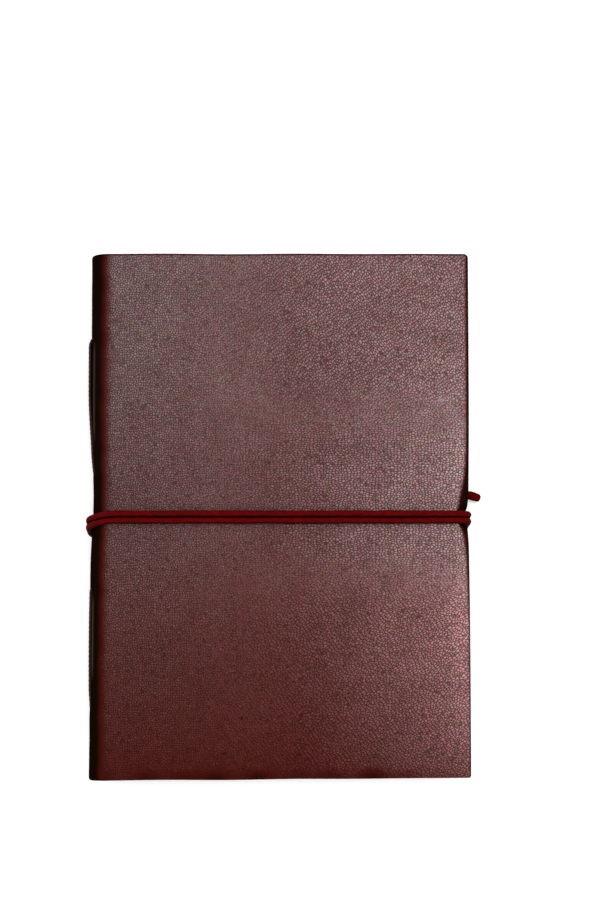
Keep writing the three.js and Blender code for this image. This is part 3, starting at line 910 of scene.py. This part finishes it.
class Graph:
    """A short way to build a node material."""

    def __init__(self, name):
        self.material = bpy.data.materials.new(name)
        self.material.use_nodes = True
        self.tree = self.material.node_tree
        self.shader = self.tree.nodes["Principled BSDF"]

    def node(self, kind, inputs=None, **settings):
        made = self.tree.nodes.new("ShaderNode" + kind)
        for key, value in settings.items():
            setattr(made, key, value)
        for key, value in (inputs or {}).items():
            self.feed(made.inputs[key], value)
        return made

    def feed(self, socket, value):
        if isinstance(value, bpy.types.NodeSocket):
            self.tree.links.new(value, socket)
        else:
            socket.default_value = value

    def attribute(self, name, output="Fac"):
        return self.node("Attribute", attribute_name=name).outputs[output]

    def math(self, operation, a, b=0.0, clamp=False):
        return self.node("Math", {0: a, 1: b}, operation=operation, use_clamp=clamp).outputs[0]

    def times(self, a, b, clamp=False):
        return self.math("MULTIPLY", a, b, clamp)

    def spread(self, value, from_low, from_high, to_low=0.0, to_high=1.0):
        inputs = {"Value": value, "From Min": from_low, "From Max": from_high,
                  "To Min": to_low, "To Max": to_high}
        return self.node("MapRange", inputs, interpolation_type="SMOOTHSTEP").outputs[0]

    def vector(self, operation, a, b):
        return self.node("VectorMath", {0: a, 1: b}, operation=operation).outputs[0]

    def scaled(self, vector, factor):
        return self.vector("MULTIPLY", vector, factor)

    def noise(self, vector, scale, detail=3.0, roughness=0.5, output="Fac"):
        inputs = {"Vector": vector, "Scale": scale, "Detail": detail, "Roughness": roughness}
        return self.node("TexNoise", inputs).outputs[output]

    def cells(self, vector, scale, feature, randomness=1.0):
        inputs = {"Vector": vector, "Scale": scale, "Randomness": randomness}
        made = self.node("TexVoronoi", inputs, voronoi_dimensions="2D", feature=feature)
        return made.outputs["Distance"]

    def pebbles(self, vector, scale, drawn_out, turn):
        """Flat tops of 1 that fall to 0 in the creases, wider spaced along a line at an angle."""
        turned = self.node("VectorRotate", {"Vector": vector, "Angle": turn}, rotation_type="Z_AXIS")
        drawn = self.scaled(turned.outputs[0], (1 / drawn_out, drawn_out, 1))
        near, next_near = [self.cells(drawn, scale, feature, 0.85) for feature in ("F1", "F2")]
        return self.spread(self.math("SUBTRACT", next_near, near), 0.0, 0.7)

    def blend_values(self, share, a, b):
        return self.node("Mix", {"Factor": share, "A": a, "B": b}, data_type="FLOAT").outputs[0]

    def mix(self, share, a, b):
        made = self.node("Mix", data_type="RGBA")
        self.feed(made.inputs["Factor"], share)
        self.feed(made.inputs["A"], a)
        self.feed(made.inputs["B"], b)
        return made.outputs["Result"]

    def bump(self, height, distance, strength):
        made = self.node("Bump", {"Height": height, "Distance": distance, "Strength": strength})
        return made.outputs["Normal"]

    def sheltered(self, distance):
        """1 in the open, less in grooves and where two things touch."""
        return self.node("AmbientOcclusion", {"Distance": distance}).outputs["AO"]

    def finish(self, **inputs):
        for key, value in inputs.items():
            self.feed(self.shader.inputs[key.replace("_", " ")], value)
        return self.material


def srgb(red, green, blue):
    """A colour given in screen values from 0 to 255."""
    def linear(value):
        value = value / 255
        return value / 12.92 if value <= 0.04045 else ((value + 0.055) / 1.055) ** 2.4
    return (linear(red), linear(green), linear(blue), 1.0)


# Where the front has been knocked: distance along the hide, height, half width, half height.
SCUFFS = [(LENGTH - 9.6, 39.4, 1.3, 0.6)]
NICKS = [(ARC_END + 46.3, -68.5, 0.55, 0.4), (ARC_END + 40.2, -80.5, 0.8, 0.35)]


def worn_places(g, flat, places):
    """1 inside any of the small worn places on the front half, with ragged edges."""
    ragged = g.spread(g.noise(flat, 1.6, 3.0), 0.3, 0.7, -0.6, 0.6)
    total = 0.0
    for along, y, half_width, half_height in places:
        moved = g.vector("SUBTRACT", flat, (along, y, 0.0))
        scaled = g.scaled(moved, (1 / half_width, 1 / half_height, 1.0))
        far = g.node("VectorMath", {0: scaled}, operation="LENGTH").outputs["Value"]
        inside = g.spread(g.math("ADD", far, ragged), 0.4, 1.5, 1.0, 0.0)
        total = g.math("MAXIMUM", total, inside)
    return total


FINE_GRAIN = 1.25  # pebbles to a millimetre
COARSE_GRAIN = 1.12


def goat_pebbles(g, flat):
    """Fine round pebbles by the spine; by the fore-edge coarser, in ripples that turn down its height."""
    warp = g.noise(flat, 0.35, 3.0, 0.75, output="Color")
    bent = g.scaled(g.vector("SUBTRACT", warp, (0.5, 0.5, 0.5)), (1.3, 1.3, 0))
    placed = g.vector("ADD", flat, bent)
    fine = g.pebbles(placed, FINE_GRAIN, 1.0, 0.0)
    rising = g.pebbles(placed, COARSE_GRAIN, 1.22, math.radians(50))
    upright = g.pebbles(placed, COARSE_GRAIN, 1.18, 0.0)
    falling = g.pebbles(placed, COARSE_GRAIN, 1.28, math.radians(-35))
    coarse = g.blend_values(g.attribute("upper"), upright, rising)
    coarse = g.blend_values(g.attribute("lower"), coarse, falling)
    return g.blend_values(g.spread(g.attribute("pale"), 0.1, 0.9), fine, coarse)


def bloom_colour(g, tint):
    """The painted sheen's mauve grey: darker by the spine, paler by the fore-edge, rosier low down."""
    hue = g.spread(tint, 0.36, 0.64)
    near_spine = g.mix(hue, srgb(122, 113, 107), srgb(127, 108, 113))
    near_edge = g.mix(hue, srgb(173, 149, 144), srgb(179, 141, 148))
    rosy = g.mix(hue, srgb(184, 128, 124), srgb(190, 121, 129))
    near_edge = g.mix(g.times(g.attribute("lower"), 0.6), near_edge, rosy)
    return g.mix(g.attribute("pale"), near_spine, near_edge)


def dye_and_grain_shading(g, broad, tint, pebble, crease):
    """Red-brown dye, with a painted highlight a little lighter on the pebbles' tops and painted shade dark
    in the creases.
    """
    dye = g.mix(g.spread(broad, 0.35, 0.65), srgb(58, 13, 10), srgb(64, 17, 13))
    dye = g.mix(g.times(g.spread(tint, 0.45, 0.7), 0.3), dye, srgb(80, 32, 22))
    # painted highlight on the pebbles' tops
    tops = g.mix(0.10, dye, srgb(140, 74, 62))
    # painted shade in the creases
    return g.mix(g.times(crease, 0.62), g.mix(pebble, dye, tops), srgb(30, 7, 8))


def wear_and_painted_light(g, flat, skin, burnish):
    """Adds the dark edges of burnish and painted shade, the painted highlight on the spine's shoulder, the
    scuff and the nicks.
    """
    # near-black painted shade along the spine and the rolled edges, with burnish
    dark = g.mix(g.spread(burnish, 0.55, 0.92), srgb(50, 11, 6), srgb(14, 6, 3))
    skin = g.mix(g.spread(burnish, 0.1, 0.8), skin, dark)
    # the painted highlight on the spine's shoulder
    skin = g.mix(g.times(g.attribute("ridge"), 0.12), skin, srgb(150, 130, 118))
    skin = g.mix(g.times(worn_places(g, flat, SCUFFS), 0.4), skin, srgb(150, 140, 158))
    return g.mix(g.times(worn_places(g, flat, NICKS), 0.8), skin, srgb(26, 6, 6))


def hide_material():
    """Waxed goatskin: fine pebbles with painted shade in the creases between them, dyed unevenly, with a
    painted sheen, dark at its edges from burnish and painted shade.
    """
    g = Graph("waxed_goatskin")
    flat = g.attribute("flat", "Vector")
    burnish = g.attribute("burnish")
    suede = g.attribute("suede")
    pebble = goat_pebbles(g, flat)
    crease = g.spread(pebble, 0.0, 0.45, 1.0, 0.0)
    broad = g.noise(flat, 0.018, 3.0, 0.55)
    patch = g.noise(flat, 0.11, 3.0, 0.6)
    tint = g.noise(flat, 0.3, 2.0, 0.5)

    uneven = g.spread(broad, 0.3, 0.7, 0.88, 1.12)
    uneven = g.times(uneven, g.spread(patch, 0.3, 0.7, 0.86, 1.14))
    # the painted sheen, laid mostly on the pebbles' tops as a reflection would be
    bloom = g.times(g.attribute("bloom"), uneven)
    bloom = g.times(bloom, g.spread(burnish, 0.0, 0.75, 1.0, 0.0), clamp=True)
    share = g.math("ADD", g.times(pebble, 1.9), 0.18)
    sheen_on_pebbles = g.times(bloom, share, clamp=True)
    skin = g.mix(sheen_on_pebbles, dye_and_grain_shading(g, broad, tint, pebble, crease), bloom_colour(g, tint))
    skin = wear_and_painted_light(g, flat, skin, burnish)
    flesh = g.mix(g.noise(flat, 1.4, 4.0), srgb(96, 52, 38), srgb(124, 76, 56))

    fibre = g.noise(flat, 3.2, 3.0, 0.6)
    height = g.math("ADD", g.times(pebble, 0.85), g.times(fibre, 0.2))
    rough = g.math("ADD", g.spread(patch, 0.3, 0.7, 0.38, 0.48), g.times(crease, 0.15))
    rough = g.math("ADD", rough, g.times(burnish, 0.3))
    rough = g.math("ADD", rough, g.times(suede, 0.4), clamp=True)
    glint = g.math("ADD", 0.02, g.times(bloom, 0.4))
    glint = g.times(glint, g.spread(burnish, 0.1, 0.7, 1.0, 0.06))
    return g.finish(
        Base_Color=g.mix(suede, skin, flesh), Roughness=rough, Normal=g.bump(height, 0.00014, 0.8),
        Specular_IOR_Level=glint, Sheen_Weight=g.times(suede, 0.4),
    )


def suede_material():
    """Split suede with a short nap brushed in patches."""
    g = Graph("split_suede")
    flat = g.attribute("flat", "Vector")
    nap = g.noise(flat, 2.4, 4.0, 0.65)
    brushed = g.noise(g.scaled(flat, (0.09, 0.05, 0.1)), 1.0, 4.0, 0.6)
    colour = g.mix(g.spread(nap, 0.3, 0.7), srgb(98, 55, 38), srgb(134, 82, 58))
    colour = g.mix(g.times(g.spread(brushed, 0.42, 0.6), 0.55), colour, srgb(84, 44, 31))
    normal = g.bump(nap, 0.00025, 0.7)
    return g.finish(Base_Color=colour, Roughness=0.95, Normal=normal, Sheen_Weight=0.5,
                    Sheen_Roughness=0.5, Specular_IOR_Level=0.15)


def card_material():
    """Grey-brown board with flecks and a felted face."""
    g = Graph("grey_board")
    flat = g.attribute("flat", "Vector")
    fleck = g.noise(flat, 1.1, 4.0, 0.7)
    colour = g.mix(g.spread(fleck, 0.35, 0.7), srgb(150, 132, 104), srgb(112, 98, 78))
    return g.finish(Base_Color=colour, Roughness=0.9, Normal=g.bump(fleck, 0.0001, 0.5))


def paper_material():
    """Handmade cotton paper: warm white, felt texture, a few fibres, soft and darker at the torn edge."""
    g = Graph("cotton_paper")
    flat = g.attribute("flat", "Vector")
    edge = g.attribute("edge")
    felt = g.noise(flat, 0.8, 4.0, 0.6)
    cloud = g.noise(flat, 0.05, 3.0, 0.5)
    hair = g.cells(g.scaled(flat, (0.35, 1.9, 1.0)), 0.5, "DISTANCE_TO_EDGE")
    colour = g.mix(g.spread(cloud, 0.3, 0.7), srgb(207, 198, 178), srgb(201, 191, 169))
    hair = g.spread(hair, 0.0, 0.02, 1.0, 0.0)
    colour = g.mix(g.times(hair, 0.22), colour, srgb(170, 152, 120))
    colour = g.mix(g.times(edge, 0.35), colour, srgb(184, 168, 136))
    return g.finish(Base_Color=colour, Roughness=0.92, Normal=g.bump(felt, 0.00012, 0.6),
                    Specular_IOR_Level=0.2, Sheen_Weight=0.1)


def cord_material():
    """Soft round leather cord, dyed deep red, slightly napped, with a few rubbed fibres and painted shade on
    its flanks and where it touches.
    """
    g = Graph("soft_red_cord")
    flat = g.attribute("flat", "Vector")
    streak = g.noise(g.scaled(flat, (1.0, 1.0, 0.25)), 1.7, 4.0, 0.65)
    blot = g.noise(flat, 0.28, 3.0, 0.6)
    nap = g.noise(flat, 4.2, 3.0, 0.7)
    rubbed = g.noise(g.scaled(flat, (1.0, 1.0, 0.5)), 0.9, 5.0, 0.75)
    colour = g.mix(g.spread(streak, 0.32, 0.68), srgb(68, 2, 1), srgb(94, 4, 3))
    colour = g.mix(g.times(g.spread(blot, 0.4, 0.65), 0.5), colour, srgb(64, 8, 10))
    colour = g.mix(g.times(g.spread(rubbed, 0.6, 0.8), 0.5), colour, srgb(132, 46, 36))
    # painted shade on the strands' flanks, in the groove between them and against the hide
    flank_shade = g.spread(g.attribute("outer"), 0.3, 0.9, 0.75, 0.0)
    painted_shade = g.math("MAXIMUM", flank_shade, g.spread(g.sheltered(0.004), 0.6, 0.97, 0.9, 0.0))
    colour = g.mix(painted_shade, colour, srgb(22, 1, 2))
    height = g.math("ADD", g.times(nap, 0.6), streak)
    return g.finish(Base_Color=colour, Roughness=0.85, Normal=g.bump(height, 0.00014, 0.8),
                    Specular_IOR_Level=0.02)


def thread_material():
    """Waxed linen thread, nearly black-red."""
    g = Graph("waxed_thread")
    flat = g.attribute("flat", "Vector")
    ply = g.noise(g.scaled(flat, (1.0, 1.0, 0.6)), 3.5, 3.0, 0.6)
    colour = g.mix(g.spread(ply, 0.35, 0.65), srgb(22, 4, 5), srgb(52, 8, 11))
    return g.finish(Base_Color=colour, Roughness=0.6, Normal=g.bump(ply, 0.00008, 0.7),
                    Specular_IOR_Level=0.15)


def floor_material():
    """A plain pale studio floor with a barely visible unevenness."""
    g = Graph("pale_floor")
    place = g.node("TexCoord").outputs["Object"]
    cloud = g.noise(place, 3.0, 2.0)
    colour = g.mix(cloud, (0.95, 0.95, 0.95, 1), (0.97, 0.97, 0.97, 1))
    return g.finish(Base_Color=colour, Roughness=0.9, Specular_IOR_Level=0.1,
                    Emission_Color=(1, 1, 1, 1), Emission_Strength=0.2)


# ---- assembly


def covers():
    hide, suede, card = hide_material(), suede_material(), card_material()
    for side, half, body in HALVES:
        skin = hide_half(side, f"{half}_hide")
        hinge_blend(skin)
        stand_in(skin, hide, "hide", f"{half}_cover_leather", f"{half}_hinge_leather",
                 "spine_leather", "spine_lining")
        for piece, node, look, slot in (
            (cover_lining(side, f"{half}_suede"), f"{half}_cover_lining", suede, "suede"),
            (cover_board(side, f"{half}_card"), f"{half}_cover_board", card, "card"),
        ):
            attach(piece, body)
            stand_in(piece, look, slot, node)


# ---- studio

VIEW_DISTANCE = 729 * MM
VIEW_TILT = math.radians(4.18)
LENS = 85.5
LEFT_OF_MIDDLE = 0.0229  # how far the journal sits off the picture's middle, in picture heights
BELOW_MIDDLE = 0.0711
FLOOR_SIZE = 6.0
WORLD_LIGHT = 1.0
LIGHTS_AIM = (0, 0, 0.01)


def floor():
    mesh = bpy.data.meshes.new("floor")
    half = FLOOR_SIZE / 2
    z = CAD_BOX[0][2]
    mesh.from_pydata([(-half, -half, z), (half, -half, z), (half, half, z), (-half, half, z)], [],
                     [(0, 1, 2, 3)])
    mesh.materials.append(floor_material())
    add_object("floor", mesh)


def softbox(name, place, size, power):
    data = bpy.data.lights.new(name, "AREA")
    data.shape = "RECTANGLE"
    data.size, data.size_y = size
    data.energy = power
    lamp = add_object(name, data)
    lamp.location = place
    direction = np.array(place) - np.array(LIGHTS_AIM)
    lamp.rotation_euler = Vector(direction).to_track_quat("Z", "Y").to_euler()


def studio():
    scene = bpy.context.scene
    world = bpy.data.worlds.new("studio")
    world.use_nodes = True
    world.node_tree.nodes["Background"].inputs["Color"].default_value = (1, 1, 1, 1)
    world.node_tree.nodes["Background"].inputs["Strength"].default_value = WORLD_LIGHT
    scene.world = world
    scene.view_settings.view_transform = "Standard"
    softbox("head_softbox", (0.25, 0.2, 1.25), (1.0, 1.0), 5.2)
    softbox("top_softbox", (-0.1, 0.1, 1.6), (1.6, 1.6), 7.0)


def camera():
    data = bpy.data.cameras.new("camera")
    data.lens = LENS
    made = add_object("camera", data)
    middle = np.array([(SPINE_X + EDGE_X) / 2, (HEAD_Y + TAIL_Y - TAIL_SLANT / 2) / 2, FRONT_Z]) * MM
    back = np.array([0, -math.sin(VIEW_TILT), math.cos(VIEW_TILT)])
    made.location = middle + VIEW_DISTANCE * back
    made.rotation_euler = (VIEW_TILT, 0, 0)
    data.shift_x = LEFT_OF_MIDDLE
    data.shift_y = BELOW_MIDDLE
    bpy.context.scene.camera = made


covers()
text_block(paper_material())
cord_look = cord_material()
wound_cord(cord_look)
cord_tail(cord_look)
sewing_threads(thread_material())
floor()
studio()
camera()
